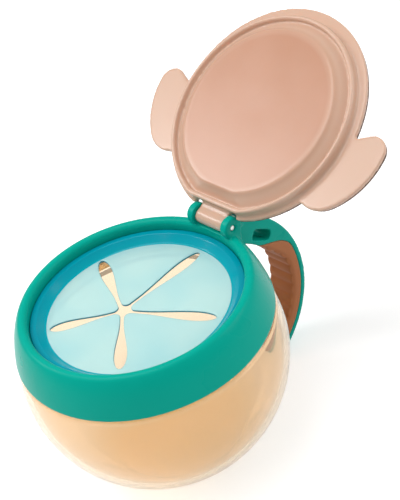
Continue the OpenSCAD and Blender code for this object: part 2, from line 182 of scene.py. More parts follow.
def add(tree, kind, inputs=None, **settings):
    """Adds one node. settings are the node's own, and inputs give each socket a value or a link."""
    node = tree.nodes.new(kind)
    for name, value in settings.items():
        setattr(node, name, value)
    for key, value in (inputs or {}).items():
        if isinstance(value, bpy.types.NodeSocket):
            tree.links.new(value, node.inputs[key])
        else:
            node.inputs[key].default_value = value
    return node


def finish_of(name):
    """A new material and its node tree, which is still empty."""
    material = bpy.data.materials.new(name)
    material.use_nodes = True
    material.node_tree.nodes.clear()
    return material, material.node_tree


def place(name, mesh):
    """Puts a mesh into the scene as an object at the origin."""
    piece = bpy.data.objects.new(name, mesh)
    bpy.context.scene.collection.objects.link(piece)
    return piece


def mesh_of(name, points, faces):
    """A mesh from points in millimetres."""
    mesh = bpy.data.meshes.new(name)
    mesh.from_pydata([Vector(p) * MM for p in points], [], faces)
    mesh.validate()
    return mesh


def settle(piece):
    """Turns a piece with its modifiers into one plain mesh."""
    graph = bpy.context.evaluated_depsgraph_get()
    mesh = bpy.data.meshes.new_from_object(piece.evaluated_get(graph))
    piece.modifiers.clear()
    old = piece.data
    piece.data = mesh
    bpy.data.meshes.remove(old)
    return piece


def tidy(piece, sharp=None, outward=False):
    """Merges doubles, shades the piece smooth, and keeps edges over an angle sharp."""
    soup = bmesh.new()
    soup.from_mesh(piece.data)
    bmesh.ops.remove_doubles(soup, verts=soup.verts, dist=MERGE)
    bmesh.ops.dissolve_degenerate(soup, edges=soup.edges, dist=TINY)
    if outward:
        bmesh.ops.recalc_face_normals(soup, faces=soup.faces)
    for face in soup.faces:
        face.smooth = True
    for edge in soup.edges:
        edge.smooth = sharp is None or edge.calc_face_angle(0.0) < math.radians(sharp)
    soup.to_mesh(piece.data)
    soup.free()
    return piece


def soften(piece, voxel, passes):
    """Gives a piece an even skin and rounds its corners, as they come out of a mould."""
    skin = piece.modifiers.new("Even skin", "REMESH")
    skin.mode = "VOXEL"
    skin.voxel_size = voxel * MM
    skin.use_smooth_shade = True
    corners = piece.modifiers.new("Rounded corners", "SMOOTH")
    corners.factor = 0.5
    corners.iterations = passes
    return settle(piece)


def moulded(node, name, voxel, passes):
    """A copy of a CAD node, merged and with its corners rounded."""
    piece = place(name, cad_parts[node].data.copy())
    piece.data.materials.clear()
    return soften(tidy(piece), voxel, passes)


def finish_piece(piece, body, nodes, material):
    """Gives a piece its material, ties it to its body, and hides the CAD nodes that it stands in for."""
    piece.data.materials.clear()
    piece.data.materials.append(material)
    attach(piece, body)
    if nodes:
        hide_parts(*nodes)


def new_group(name, sockets):
    """A Geometry Nodes group with named inputs and one geometry output."""
    group = bpy.data.node_groups.new(name, "GeometryNodeTree")
    for label, kind, value in sockets:
        socket = group.interface.new_socket(label, in_out="INPUT", socket_type=kind)
        if value is not None:
            socket.default_value = value
    group.interface.new_socket("Geometry", in_out="OUTPUT", socket_type="NodeSocketGeometry")
    return group


def grow(piece, group, **values):
    """Runs a Geometry Nodes group on a piece and keeps the result as its mesh."""
    modifier = piece.modifiers.new(group.name, "NODES")
    modifier.node_group = group
    for item in group.interface.items_tree:
        key = item.name.replace(" ", "_").lower()
        if item.item_type == "SOCKET" and item.in_out == "INPUT" and key in values:
            modifier[item.identifier] = values[key]
    return settle(piece)


def polar(reach, degrees):
    """A point of a plane at a distance and an angle."""
    turn = math.radians(degrees)
    return Vector((reach * math.cos(turn), reach * math.sin(turn)))


def rise(share):
    """A smooth rise from 0 to 1."""
    t = max(0.0, min(1.0, share))
    return t * t * (3 - 2 * t)


def arc(mid, radius, start, stop, steps):
    """Points along an arc in the plane of reach and height."""
    turns = [math.radians(start + (stop - start) * i / steps) for i in range(steps + 1)]
    return [(mid[0] + radius * math.cos(t), mid[1] + radius * math.sin(t)) for t in turns]


def filleted(corners):
    """A closed outline whose corners, given as x, y and a radius, are rounded with short arcs."""
    points = []
    for i, (x, y, radius) in enumerate(corners):
        here = Vector((x, y))
        if not radius:
            points.append((x, y))
            continue
        before = (Vector(corners[i - 1][:2]) - here).normalized()
        after = (Vector(corners[(i + 1) % len(corners)][:2]) - here).normalized()
        half = before.angle(after) / 2
        reach = radius / math.tan(half)
        mid = here + (before + after).normalized() * radius / math.sin(half)
        first, last = here + before * reach - mid, here + after * reach - mid
        turn = first.angle_signed(last)
        for k in range(7):
            points.append(tuple(mid + Matrix.Rotation(-turn * k / 6, 2) @ first))
    return points


def bar_faces(rows, count):
    """The faces of a closed bar: one outline of so many points, laid in rows, with a cap at each end."""
    faces = []
    for i in range(rows - 1):
        for j in range(count):
            k = (j + 1) % count
            faces.append((i * count + j, i * count + k, (i + 1) * count + k, (i + 1) * count + j))
    return faces + [tuple(range(count)), tuple(range((rows - 1) * count, rows * count))]


# Geometry Nodes: a profile turned round the cup's axis

TURN_STEPS = 192


def turning_group():
    group = new_group("Turned profile", [
        ("Profile", "NodeSocketGeometry", None),
        ("Steps", "NodeSocketInt", TURN_STEPS),
        ("Material", "NodeSocketMaterial", None),
    ])
    start = add(group, "NodeGroupInput")
    size = add(group, "GeometryNodeAttributeDomainSize", {"Geometry": start.outputs["Profile"]})
    columns = add(group, "ShaderNodeMath", {0: start.outputs["Steps"], 1: 1.0}, operation="ADD")
    grid = add(group, "GeometryNodeMeshGrid", {
        "Size X": 1.0,
        "Size Y": 1.0,
        "Vertices X": columns.outputs[0],
        "Vertices Y": size.outputs["Point Count"],
    })
    here = add(group, "GeometryNodeInputPosition")
    in_grid = add(group, "ShaderNodeSeparateXYZ", {0: here.outputs[0]})
    last_row = add(group, "ShaderNodeMath", {0: size.outputs["Point Count"], 1: 1.0}, operation="SUBTRACT")
    along = add(group, "ShaderNodeMath", {0: in_grid.outputs["Y"], 1: 0.5}, operation="ADD")
    row = add(group, "ShaderNodeMath", {0: along.outputs[0], 1: last_row.outputs[0]}, operation="MULTIPLY")
    whole_row = add(group, "ShaderNodeMath", {0: row.outputs[0]}, operation="ROUND")
    turn = add(group, "ShaderNodeMath", {0: in_grid.outputs["X"], 1: math.tau}, operation="MULTIPLY")
    sample = add(group, "GeometryNodeSampleIndex", {
        "Geometry": start.outputs["Profile"],
        "Value": here.outputs[0],
        "Index": whole_row.outputs[0],
    }, data_type="FLOAT_VECTOR", domain="POINT")
    point = add(group, "ShaderNodeSeparateXYZ", {0: sample.outputs["Value"]})
    across = add(group, "ShaderNodeMath", {0: turn.outputs[0]}, operation="COSINE")
    beside = add(group, "ShaderNodeMath", {0: turn.outputs[0]}, operation="SINE")
    x = add(group, "ShaderNodeMath", {0: point.outputs["X"], 1: across.outputs[0]}, operation="MULTIPLY")
    y = add(group, "ShaderNodeMath", {0: point.outputs["X"], 1: beside.outputs[0]}, operation="MULTIPLY")
    spot = add(group, "ShaderNodeCombineXYZ", {0: x.outputs[0], 1: y.outputs[0], 2: point.outputs["Z"]})
    moved = add(group, "GeometryNodeSetPosition", {
        "Geometry": grid.outputs["Mesh"], "Position": spot.outputs[0]})
    closed = add(group, "GeometryNodeMergeByDistance", {
        "Geometry": moved.outputs["Geometry"], "Distance": TINY})
    real = add(group, "GeometryNodeRealizeInstances", {"Geometry": closed.outputs["Geometry"]})
    dressed = add(group, "GeometryNodeSetMaterial", {
        "Geometry": real.outputs["Geometry"], "Material": start.outputs["Material"]})
    add(group, "NodeGroupOutput", {0: dressed.outputs["Geometry"]})
    return group


# Geometry Nodes: curved lugs, spaced evenly round the cup's axis

def lug_group():
    group = new_group("Lugs round a neck", [
        ("Lug", "NodeSocketGeometry", None),
        ("Count", "NodeSocketInt", LUG_COUNT),
        ("Material", "NodeSocketMaterial", None),
    ])
    start = add(group, "NodeGroupInput")
    centres = add(group, "GeometryNodeMeshLine", {
        "Count": start.outputs["Count"], "Start Location": (0.0, 0.0, 0.0), "Offset": (0.0, 0.0, 0.0)})
    step = add(group, "ShaderNodeMath", {0: math.tau, 1: start.outputs["Count"]}, operation="DIVIDE")
    turn = add(group, "ShaderNodeMath", {
        0: add(group, "GeometryNodeInputIndex").outputs[0], 1: step.outputs[0]}, operation="MULTIPLY")
    facing = add(group, "ShaderNodeCombineXYZ", {2: turn.outputs[0]})
    copies = add(group, "GeometryNodeInstanceOnPoints", {
        "Points": centres.outputs["Mesh"],
        "Instance": start.outputs["Lug"],
        "Rotation": facing.outputs[0],
    })
    real = add(group, "GeometryNodeRealizeInstances", {"Geometry": copies.outputs["Instances"]})
    dressed = add(group, "GeometryNodeSetMaterial", {
        "Geometry": real.outputs["Geometry"], "Material": start.outputs["Material"]})
    add(group, "NodeGroupOutput", {0: dressed.outputs["Geometry"]})
    return group


# Geometry Nodes: finger ribs set across a path, each turned to follow it

def rib_group():
    group = new_group("Finger ribs along a path", [
        ("Path", "NodeSocketGeometry", None),
        ("Count", "NodeSocketInt", RIBS),
        ("Rib width", "NodeSocketFloat", HANDLE_W * MM),
        ("Rib size", "NodeSocketVector", None),
        ("Material", "NodeSocketMaterial", None),
    ])
    start = add(group, "NodeGroupInput")
    line = add(group, "GeometryNodeMeshToCurve", {"Mesh": start.outputs["Path"]})
    spots = add(group, "GeometryNodeResampleCurve", {
        "Curve": line.outputs["Curve"], "Count": start.outputs["Count"]})
    rod = add(group, "GeometryNodeMeshCylinder", {
        "Vertices": 40, "Side Segments": 12, "Radius": 1.0, "Depth": start.outputs["Rib width"]})
    laid = add(group, "GeometryNodeTransform", {
        "Geometry": rod.outputs["Mesh"], "Rotation": (math.radians(90.0), 0.0, 0.0)})
    shaped = add(group, "GeometryNodeTransform", {
        "Geometry": laid.outputs["Geometry"], "Scale": start.outputs["Rib size"]})
    heading = add(group, "GeometryNodeInputTangent")
    facing = add(group, "FunctionNodeAlignRotationToVector", {
        "Vector": heading.outputs[0]}, axis="Z", pivot_axis="Y")
    copies = add(group, "GeometryNodeInstanceOnPoints", {
        "Points": spots.outputs["Curve"],
        "Instance": shaped.outputs["Geometry"],
        "Rotation": facing.outputs[0],
    })
    real = add(group, "GeometryNodeRealizeInstances", {"Geometry": copies.outputs["Instances"]})
    dressed = add(group, "GeometryNodeSetMaterial", {
        "Geometry": real.outputs["Geometry"], "Material": start.outputs["Material"]})
    add(group, "NodeGroupOutput", {0: dressed.outputs["Geometry"]})
    return group


# Materials

def cup_plastic():
    """Clear copolyester, injection moulded and polished: one looks through it, and it glints.
    Its amber is painted deeper low down, as painted shade for its shadow on the floor seen through the foot.
    The faint flow waves of the moulding, some 9 mm apart, bend the highlights a little."""
    material, tree = finish_of("clear_amber_copolyester_polished")
    spot = add(tree, "ShaderNodeTexCoord").outputs["Object"]
    waves = add(tree, "ShaderNodeTexNoise", {
        "Vector": spot, "Scale": 110.0, "Detail": 2.0, "Roughness": 0.5})
    bump = add(tree, "ShaderNodeBump", {
        "Height": waves.outputs[0], "Strength": 0.08, "Distance": 0.4 * MM})
    rough = add(tree, "ShaderNodeMapRange", {
        "Value": waves.outputs[0], "To Min": 0.02, "To Max": 0.07})
    height = add(tree, "ShaderNodeSeparateXYZ", {0: spot})
    # Painted shade: the amber is deepest below 1.5 mm and fades out by 9 mm, for the cup's shadow on the
    # floor seen through the foot
    above_painted_shade = add(tree, "ShaderNodeMapRange", {
        "Value": height.outputs["Z"], "From Min": 1.5 * MM, "From Max": 9.0 * MM})
    tint_with_painted_shade = add(tree, "ShaderNodeMix", {
        0: above_painted_shade.outputs[0], 6: paint("#f4dab0"), 7: paint("#f5e0c4")}, data_type="RGBA")
    wall = add(tree, "ShaderNodeBsdfPrincipled", {
        "Base Color": tint_with_painted_shade.outputs[2],
        "Roughness": rough.outputs[0],
        "IOR": 1.45,
        "Transmission Weight": 0.93,
        "Normal": bump.outputs[0],
    })
    light_through = add(tree, "ShaderNodeBsdfTransparent", {"Color": paint("#fdf6ec")})
    path = add(tree, "ShaderNodeLightPath")
    both = add(tree, "ShaderNodeMixShader", {
        0: path.outputs["Is Shadow Ray"], 1: wall.outputs[0], 2: light_through.outputs[0]})
    add(tree, "ShaderNodeOutputMaterial", {0: both.outputs[0]})
    return material


def collar_plastic():
    """Polypropylene, moulded in a finely textured steel mould: satin, with broad soft highlights.
    The texture is 0.25 mm, as coarse as the picture can show, and drawn very shallow."""
    material, tree = finish_of("teal_polypropylene_satin_moulded")
    spot = add(tree, "ShaderNodeTexCoord").outputs["Object"]
    grain = add(tree, "ShaderNodeTexNoise", {"Vector": spot, "Scale": 4000.0, "Detail": 2.0})
    flow = add(tree, "ShaderNodeTexNoise", {"Vector": spot, "Scale": 45.0, "Detail": 3.0})
    colour = add(tree, "ShaderNodeMix", {
        0: flow.outputs[0], 6: paint("#00a592"), 7: paint("#00ad9b")}, data_type="RGBA")
    rough = add(tree, "ShaderNodeMapRange", {
        "Value": flow.outputs[0], "From Min": 0.3, "From Max": 0.7, "To Min": 0.26, "To Max": 0.32})
    bump = add(tree, "ShaderNodeBump", {
        "Height": grain.outputs[0], "Strength": 0.12, "Distance": 0.02 * MM})
    skin = add(tree, "ShaderNodeBsdfPrincipled", {
        "Base Color": colour.outputs[2],
        "Roughness": rough.outputs[0],
        "IOR": 1.49,
        "Specular IOR Level": 0.08,
        "Normal": bump.outputs[0],
    })
    add(tree, "ShaderNodeOutputMaterial", {0: skin.outputs[0]})
    return material


def grip_rubber():
    """Thermoplastic rubber, moulded over the handle: matt and velvety, a little paler on the ribs' crowns,
    where fingers rub it. The bloom in it is blotchy over about 6 mm, and its grain is 0.3 mm."""
    material, tree = finish_of("brown_thermoplastic_rubber_overmoulded")
    spot = add(tree, "ShaderNodeTexCoord").outputs["Object"]
    blotch = add(tree, "ShaderNodeTexNoise", {"Vector": spot, "Scale": 160.0, "Detail": 3.0})
    grain = add(tree, "ShaderNodeTexNoise", {"Vector": spot, "Scale": 3300.0, "Detail": 2.0})
    crown = add(tree, "ShaderNodeMapRange", {
        "Value": add(tree, "ShaderNodeNewGeometry").outputs["Pointiness"],
        "From Min": 0.46, "From Max": 0.56})
    body = add(tree, "ShaderNodeMix", {
        0: blotch.outputs[0], 6: paint("#a25526"), 7: paint("#b56931")}, data_type="RGBA")
    worn = add(tree, "ShaderNodeMix", {
        0: crown.outputs[0], 6: body.outputs[2], 7: paint("#b07040")}, data_type="RGBA")
    bump = add(tree, "ShaderNodeBump", {
        "Height": grain.outputs[0], "Strength": 0.3, "Distance": 0.04 * MM})
    rough = add(tree, "ShaderNodeMapRange", {"Value": blotch.outputs[0], "To Min": 0.5, "To Max": 0.7})
    skin = add(tree, "ShaderNodeBsdfPrincipled", {
        "Base Color": worn.outputs[2],
        "Roughness": rough.outputs[0],
        "IOR": 1.5,
        "Sheen Weight": 0.08,
        "Sheen Roughness": 0.4,
        "Normal": bump.outputs[0],
    })
    add(tree, "ShaderNodeOutputMaterial", {0: skin.outputs[0]})
    return material


def guard_sheet():
    """Thin clear blue thermoplastic elastomer, moulded: so thin here that it is a pale milky aqua that
    lets some of what lies behind it through. Dust and handling cloud it over some 18 mm."""
    material, tree = finish_of("aqua_elastomer_thin_moulded")
    spot = add(tree, "ShaderNodeTexCoord").outputs["Object"]
    cloud = add(tree, "ShaderNodeTexNoise", {
        "Vector": spot, "Scale": 55.0, "Detail": 1.0, "Roughness": 0.4})
    haze = add(tree, "ShaderNodeMapRange", {
        "Value": cloud.outputs[0], "From Min": 0.35, "From Max": 0.65})
    colour = add(tree, "ShaderNodeMix", {
        0: haze.outputs[0], 6: paint("#c2f4f9"), 7: paint("#d2fafb")}, data_type="RGBA")
    rough = add(tree, "ShaderNodeMapRange", {"Value": haze.outputs[0], "To Min": 0.06, "To Max": 0.1})
    skin = add(tree, "ShaderNodeBsdfPrincipled", {
        "Base Color": colour.outputs[2],
        "Roughness": rough.outputs[0],
        "IOR": 1.5,
        "Specular IOR Level": 0.3,
        "Transmission Weight": 0.4,
    })
    add(tree, "ShaderNodeOutputMaterial", {0: skin.outputs[0]})
    return material


def guard_edge():
    """The cut edge of the same elastomer: light runs along the sheet to it, so it looks deep blue."""
    material, tree = finish_of("blue_elastomer_cut_edge")
    spot = add(tree, "ShaderNodeTexCoord").outputs["Object"]
    drag = add(tree, "ShaderNodeTexNoise", {"Vector": spot, "Scale": 900.0, "Detail": 1.0})
    colour = add(tree, "ShaderNodeMix", {
        0: drag.outputs[0], 6: paint("#2b7f9c"), 7: paint("#3f9db4")}, data_type="RGBA")
    rough = add(tree, "ShaderNodeMapRange", {"Value": drag.outputs[0], "To Min": 0.25, "To Max": 0.45})
    skin = add(tree, "ShaderNodeBsdfPrincipled", {
        "Base Color": colour.outputs[2], "Roughness": rough.outputs[0], "IOR": 1.5})
    add(tree, "ShaderNodeOutputMaterial", {0: skin.outputs[0]})
    return material


def guard_joint():
    """Where the elastomer runs on from the fixed rim into a flap, so there is no skin between the two and
    nothing to see: the butt faces of the two meshes let all light straight through."""
    material, tree = finish_of("aqua_elastomer_run_on")
    through = add(tree, "ShaderNodeBsdfTransparent", {"Color": (1.0, 1.0, 1.0, 1.0)})
    add(tree, "ShaderNodeOutputMaterial", {0: through.outputs[0]})
    return material


def guard_ring_material():
    """The same elastomer where it is 2 to 3 mm thick: deep blue, hardly clear and glossy, and a little paler
    towards the thin disc. The colour runs with the distance from the cup's axis."""
    material, tree = finish_of("blue_elastomer_thick_moulded")
    spot = add(tree, "ShaderNodeTexCoord").outputs["Object"]
    parts = add(tree, "ShaderNodeSeparateXYZ", {0: spot})
    flat = add(tree, "ShaderNodeCombineXYZ", {0: parts.outputs["X"], 1: parts.outputs["Y"]})
    reach = add(tree, "ShaderNodeVectorMath", {0: flat.outputs[0]}, operation="LENGTH")
    outward = add(tree, "ShaderNodeMapRange", {
        "Value": reach.outputs["Value"],
        "From Min": DISC_R * MM, "From Max": LEDGE_OUT_R * MM})
    wisps = add(tree, "ShaderNodeTexNoise", {"Vector": spot, "Scale": 140.0, "Detail": 3.0})
    colour = add(tree, "ShaderNodeMix", {
        0: outward.outputs[0], 6: paint("#06adbd"), 7: paint("#0097ad")}, data_type="RGBA")
    rough = add(tree, "ShaderNodeMapRange", {"Value": wisps.outputs[0], "To Min": 0.10, "To Max": 0.22})
    skin = add(tree, "ShaderNodeBsdfPrincipled", {
        "Base Color": colour.outputs[2],
        "Roughness": rough.outputs[0],
        "IOR": 1.5,
        "Specular IOR Level": 0.12,
        "Transmission Weight": 0.1,
    })
    add(tree, "ShaderNodeOutputMaterial", {0: skin.outputs[0]})
    return material


def lid_plastic():
    """Polypropylene, moulded in a polished mould: glossy peach, a little waxy because light sinks in.
    Its raised middle is a little deeper in colour, because the dark panel lies behind it. Flow waves about
    14 mm apart wobble its reflections, as on any thin moulded cover."""
    material, tree = finish_of("peach_polypropylene_glossy_moulded")
    spot = add(tree, "ShaderNodeTexCoord").outputs["Object"]
    waves = add(tree, "ShaderNodeTexNoise", {"Vector": spot, "Scale": 70.0, "Detail": 2.0})
    out = add(tree, "ShaderNodeVectorMath", {0: spot, 1: LID_MID * MM}, operation="SUBTRACT")
    across = add(tree, "ShaderNodeVectorMath", {0: out.outputs[0], 1: LID_AXIS}, operation="CROSS_PRODUCT")
    reach = add(tree, "ShaderNodeVectorMath", {0: across.outputs[0]}, operation="LENGTH")
    outward = add(tree, "ShaderNodeMapRange", {
        "Value": reach.outputs["Value"], "From Min": 27.0 * MM, "From Max": 31.0 * MM})
    middle = add(tree, "ShaderNodeMix", {
        0: waves.outputs[0], 6: paint("#c28d70"), 7: paint("#c9967b")}, data_type="RGBA")
    colour = add(tree, "ShaderNodeMix", {
        0: outward.outputs[0], 6: middle.outputs[2], 7: paint("#d7b29b")}, data_type="RGBA")
    rough = add(tree, "ShaderNodeMapRange", {"Value": waves.outputs[0], "To Min": 0.2, "To Max": 0.26})
    bump = add(tree, "ShaderNodeBump", {
        "Height": waves.outputs[0], "Strength": 0.04, "Distance": 0.5 * MM})
    skin = add(tree, "ShaderNodeBsdfPrincipled", {
        "Base Color": colour.outputs[2],
        "Roughness": rough.outputs[0],
        "IOR": 1.49,
        "Subsurface Weight": 0.15,
        "Subsurface Radius": (1.0, 0.5, 0.3),
        "Subsurface Scale": 1.2 * MM,
        "Normal": bump.outputs[0],
    })
    add(tree, "ShaderNodeOutputMaterial", {0: skin.outputs[0]})
    return material


def panel_plastic():
    """ABS sheet with a fine leather-like grain from the mould, satin dark brown. The grain is 0.6 mm."""
    material, tree = finish_of("dark_brown_abs_grained")
    spot = add(tree, "ShaderNodeTexCoord").outputs["Object"]
    grain = add(tree, "ShaderNodeTexVoronoi", {"Vector": spot, "Scale": 1600.0}, feature="SMOOTH_F1")
    rubbed = add(tree, "ShaderNodeTexNoise", {"Vector": spot, "Scale": 60.0, "Detail": 4.0})
    colour = add(tree, "ShaderNodeMix", {
        0: rubbed.outputs[0], 6: paint("#553120"), 7: paint("#653c28")}, data_type="RGBA")
    rough = add(tree, "ShaderNodeMapRange", {"Value": rubbed.outputs[0], "To Min": 0.34, "To Max": 0.5})
    bump = add(tree, "ShaderNodeBump", {
        "Height": grain.outputs["Distance"], "Strength": 0.25, "Distance": 0.05 * MM})
    skin = add(tree, "ShaderNodeBsdfPrincipled", {
        "Base Color": colour.outputs[2], "Roughness": rough.outputs[0], "IOR": 1.53,
        "Normal": bump.outputs[0]})
    add(tree, "ShaderNodeOutputMaterial", {0: skin.outputs[0]})
    return material


def pin_steel():
    """Stainless steel wire, drawn and cropped: bright, with draw lines along it that end as a grain on its
    cropped ends. The draw lines are 0.1 mm apart."""
    material, tree = finish_of("stainless_wire_drawn")
    spot = add(tree, "ShaderNodeTexCoord").outputs["Object"]
    stretched = add(tree, "ShaderNodeMapping", {"Vector": spot, "Scale": (1.0, 0.02, 1.0)})
    lines = add(tree, "ShaderNodeTexNoise", {
        "Vector": stretched.outputs[0], "Scale": 9000.0, "Detail": 2.0})
    rough = add(tree, "ShaderNodeMapRange", {"Value": lines.outputs[0], "To Min": 0.25, "To Max": 0.45})
    bump = add(tree, "ShaderNodeBump", {
        "Height": lines.outputs[0], "Strength": 0.2, "Distance": 0.01 * MM})
    metal = add(tree, "ShaderNodeBsdfPrincipled", {
        "Base Color": paint("#dcdcd8"), "Metallic": 1.0, "Roughness": rough.outputs[0],
        "Normal": bump.outputs[0]})
    add(tree, "ShaderNodeOutputMaterial", {0: metal.outputs[0]})
    return material


CUP = cup_plastic()
COLLAR = collar_plastic()
GRIP = grip_rubber()
SHEET = guard_sheet()
EDGE = guard_edge()
JOINT = guard_joint()
RING = guard_ring_material()
LID = lid_plastic()
PANEL = panel_plastic()
PIN = pin_steel()


# Cup: one turned shell with the lugs of its twist lock

turning = turning_group()


def turned_piece(name, profile, material):
    """A closed shell turned from its profile of radius and height."""
    mesh = bpy.data.meshes.new(name)
    points = [(r * MM, 0.0, z * MM) for r, z in profile]
    mesh.from_pydata(points, [(i, i + 1) for i in range(len(points) - 1)], [])
    piece = grow(place(name, mesh), turning, steps=TURN_STEPS, material=material)
    return tidy(piece, sharp=50.0, outward=True)


def lug_mesh():
    """One lug of the neck, as a block bent round the axis, with eased corners."""
    outline = filleted([
        (NECK_R - LUG_ROOT, LUG_Z, 0.0),
        (NECK_R + LUG_REACH, LUG_Z, 0.3),
        (NECK_R + LUG_REACH, LUG_Z + LUG_H, 0.3),
        (NECK_R - LUG_ROOT, LUG_Z + LUG_H, 0.0),
    ])
    steps = 14
    points = []
    for i in range(steps + 1):
        turn = math.radians(LUG_ANGLE * (i / steps - 0.5))
        points += [(r * math.cos(turn), r * math.sin(turn), z) for r, z in outline]
    return mesh_of("neck_lug", points, bar_faces(steps + 1, len(outline)))


def cup_profile():
    """The cup's cut half: out along the foot, up the outside, over the lip, and down the inside."""
    ball = (0.0, BALL_Z)
    inner_r = BALL_R - CUP_WALL
    foot_angle = -math.degrees(math.asin(BALL_Z / BALL_R))
    shoulder_angle = math.degrees(math.asin(SHOULDER_RISE / BALL_R))
    inner_foot = -math.degrees(math.asin((BALL_Z - CUP_WALL) / inner_r))
    inner_shoulder = math.degrees(math.asin((SHOULDER_RISE - CUP_WALL) / inner_r))
    under = SHOULDER_Z - CUP_WALL
    lip_r = 0.5
    corner_r = 0.8
    foot = [(0.0, 0.0), (8.0, 0.0), (16.0, 0.0), (FOOT_R - 1.6, 0.0), (FOOT_R - 0.7, 0.06), (FOOT_R, 0.28)]
    outside = arc(ball, BALL_R, foot_angle + 0.8, shoulder_angle - 0.8, 72)
    shoulder = [(SHOULDER_R - 0.3, SHOULDER_Z - 0.06), (SHOULDER_R - 0.8, SHOULDER_Z)]
    neck = [(NECK_R + 0.4, SHOULDER_Z), (NECK_R, SHOULDER_Z + 0.4), (NECK_R, NECK_Z - lip_r)]
    lip = arc((NECK_R - lip_r, NECK_Z - lip_r), lip_r, 0.0, 90.0, 4)
    lip += arc((NECK_IN_R + lip_r, NECK_Z - lip_r), lip_r, 90.0, 180.0, 4)
    throat = [(NECK_IN_R, under + corner_r)]
    throat += arc((NECK_IN_R + corner_r, under + corner_r), corner_r, 180.0, 270.0, 4)
    # The corners inside are eased by short steps, given by radius and height
    throat += [(40.4, under), (41.2, under - 0.12)]
    inside = arc(ball, inner_r, inner_shoulder - 1.2, inner_foot + 3.2, 60)
    inner_corner = [(21.9, CUP_WALL + 0.62), (20.8, CUP_WALL + 0.18), (19.4, CUP_WALL)]
    inner_foot_face = [(10.0, CUP_WALL), (0.0, CUP_WALL)]
    return foot + outside + shoulder + neck + lip + throat + inside + inner_corner + inner_foot_face


cup = turned_piece("cup_shell", cup_profile(), CUP)
lugs = grow(place("cup_lugs", lug_mesh()), lug_group(), count=LUG_COUNT, material=CUP)
tidy(lugs, sharp=50.0, outward=True)
finish_piece(cup, "cup", ["cup"], CUP)
finish_piece(lugs, "cup", [], CUP)


# Collar: its lip, ears, arm and handle back in one moulding

collar = moulded("collar", "collar_moulding", 0.35, 6)
finish_piece(collar, "collar", ["collar"], COLLAR)


# Grip: a rounded bar along the inside of the handle, with ribs across it

def handle_at(turn, depth):
    """A point of the handle in the XZ plane, at an angle round its bend and so deep under its edge."""
    mid_x, radius = (HANDLE_X - LOW_R, LOW_R) if turn < 0 else (HANDLE_X - TOP_R, TOP_R)
    t = math.radians(turn)
    return Vector((mid_x + (radius - depth) * math.cos(t), HANDLE_Z + (radius - depth) * math.sin(t)))


def spine_depth(turn):
    """How deep under the handle's outer edge its moulded back ends."""
    return SPINE_T + (ARM_T - SPINE_T) * rise((turn - ARM_FROM) / (ARM_FULL - ARM_FROM))


def grip_depth(turn):
    """How deep under the handle's outer edge the grip's face lies."""
    return HANDLE_T + (ARM_T - HANDLE_T) * rise((turn - GRIP_FROM) / (GRIP_FULL - GRIP_FROM))


def grip_sections():
    """The back, front and half-width of each of the grip's sections, from its rounded tip up to the arm."""
    turns = [-LOW_ANGLE + GRIP_STEP * i for i in range(GRIP_ROWS)] + [GRIP_END]
    sections = [(handle_at(t, spine_depth(t)), handle_at(t, grip_depth(t)), HANDLE_W / 2) for t in turns]
    end = HANDLE_T / 2
    low_end = handle_at(-LOW_ANGLE, end)
    low_turn = math.radians(-LOW_ANGLE)
    tip = Vector((math.sin(low_turn), -math.cos(low_turn)))
    inward = (sections[0][1] - sections[0][0]).normalized()
    split = low_end - inward * (end - SPINE_T)
    for share in TIP_SHARES:
        out = tip * end * share
        narrow = end * math.sqrt(1 - share**2)
        half = HANDLE_W / 2 * (1 - 0.12 * share**3)
        sections.insert(0, (split + out * 0.9, low_end + inward * narrow + out, half))
    return sections


def grip_bar():
    """The grip without its ribs: each section is flat-backed, with a crowned front."""
    points = []
    sections = grip_sections()
    for back, front, half in sections:
        depth = (front - back).length
        inward = (front - back).normalized()
        crown = min(GRIP_CROWN, 0.75 * depth)
        outline = filleted([
            (-half, 0.0, 0.0), (-half, depth, crown), (half, depth, crown), (half, 0.0, 0.0)])
        for y, d in outline:
            spot = back + inward * d
            points.append((spot.x, y, spot.y))
    return mesh_of("grip_bar", points, bar_faces(len(sections), len(outline)))


def rib_path():
    """The line through the ribs' middles, just under the grip's face."""
    count = int((RIB_TO - RIB_FROM - RIB_STEP) / PATH_STEP) + 1
    points = []
    for i in range(count):
        turn = RIB_FROM + RIB_STEP / 2 + i * PATH_STEP
        spot = handle_at(turn, grip_depth(turn) - RIB_SINK)
        points.append((spot.x * MM, 0.0, spot.y * MM))
    mesh = bpy.data.meshes.new("rib_path")
    mesh.from_pydata(points, [(i, i + 1) for i in range(count - 1)], [])
    return mesh


grip = place("handle_grip_moulding", grip_bar())
tidy(grip, outward=True)
ribs = grow(place("finger_ribs", rib_path()), rib_group(), count=RIBS, material=GRIP,
            rib_width=(HANDLE_W - 2 * RIB_SIDE_GAP) * MM,
            rib_size=(RIB_SIZE[0] * MM, 1.0, RIB_SIZE[1] * MM))
join = bmesh.new()
join.from_mesh(grip.data)
join.from_mesh(ribs.data)
join.to_mesh(grip.data)
join.free()
bpy.data.objects.remove(ribs)
soften(grip, 0.28, 14)
finish_piece(grip, "collar", ["handle_grip"], GRIP)


# Guard: the thick ring, and the thin sheet with its star of slots

guard_profile = filleted([
    (DISC_R, DISC_Z, 0.0),
    (SEAL_IN_R - 0.4, DISC_Z, 0.3),
    (SEAL_IN_R, NECK_Z - SEAL_H, 0.3),
    (SEAL_R, NECK_Z - SEAL_H, 0.3),
    (SEAL_R, FLANGE_Z, 0.2),
    (NECK_R, FLANGE_Z, 0.3),
    (NECK_R, FLANGE_TOP, 0.3),
    (LEDGE_OUT_R, FLANGE_TOP, 0.2),
    (LEDGE_OUT_R, LEDGE_Z, 0.4),
    (LEDGE_IN_R, LEDGE_Z, 0.7),
    (DISC_R + 0.5, DISC_TOP + 0.1, 1.2),
    (DISC_R, DISC_TOP, 0.0),
])
guard_profile.append(guard_profile[0])
guard_ring = turned_piece("guard_ring_moulding", guard_profile, RING)

# The slots end on a circle round FAN and meet at STAR. STAR and the flat shapes below are measured from FAN
FAN = polar(FAN_SHIFT, FAN_TURN)
STAR = polar(STAR_SHIFT, STAR_TURN)


